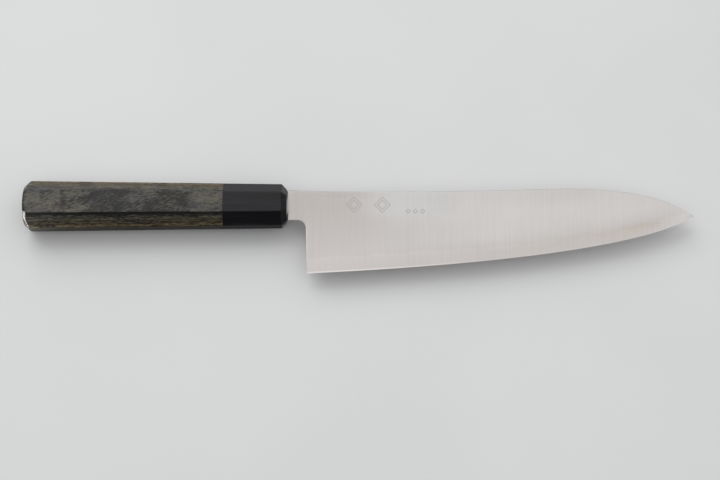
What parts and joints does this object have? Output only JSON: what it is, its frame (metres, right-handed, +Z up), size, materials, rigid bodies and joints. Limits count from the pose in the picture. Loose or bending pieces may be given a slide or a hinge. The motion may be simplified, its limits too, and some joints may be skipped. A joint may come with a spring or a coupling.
{
  "type": "chef knife",
  "caption": "Gyuto chef knife: clad satin steel blade on a hidden tang, octagonal laminated wood handle with a black ferrule, for slicing and chopping food.",
  "frame": {"origin": "centre of the knife's footprint as it lies on its side, at its lowest point", "axes": "+X from the butt to the blade's tip, +Y from the cutting edge to the spine, +Z up, square to the blade"},
  "size_m": [0.3642, 0.0508, 0.0232],
  "materials": {
    "core_steel": "fine polish",
    "cladding_steel": "satin, brushed across the blade",
    "black_ferrule": "polished black laminated wood",
    "dowel_wood": "bare",
    "bedding_resin": "set resin",
    "veneer_dark": "dyed, pressed with resin, polished",
    "veneer_pale": "dyed, pressed with resin, polished"
  },
  "bodies": {
    "root": {"blade_core": "core_steel", "blade_cladding_front": "cladding_steel", "blade_cladding_back": "cladding_steel", "ferrule": "black_ferrule", "handle_dowel": "dowel_wood", "tang_bedding": "bedding_resin", "handle_veneer_01": "veneer_dark", "handle_veneer_02": "veneer_pale", "handle_veneer_03": "veneer_dark", "handle_veneer_04": "veneer_pale", "handle_veneer_05": "veneer_dark", "handle_veneer_06": "veneer_pale", "handle_veneer_07": "veneer_dark", "handle_veneer_08": "veneer_pale", "handle_veneer_09": "veneer_dark", "handle_veneer_10": "veneer_pale", "handle_veneer_11": "veneer_dark", "handle_veneer_12": "veneer_pale", "handle_veneer_13": "veneer_dark", "handle_veneer_14": "veneer_pale", "handle_veneer_15": "veneer_dark"}
  },
  "joints": []
}
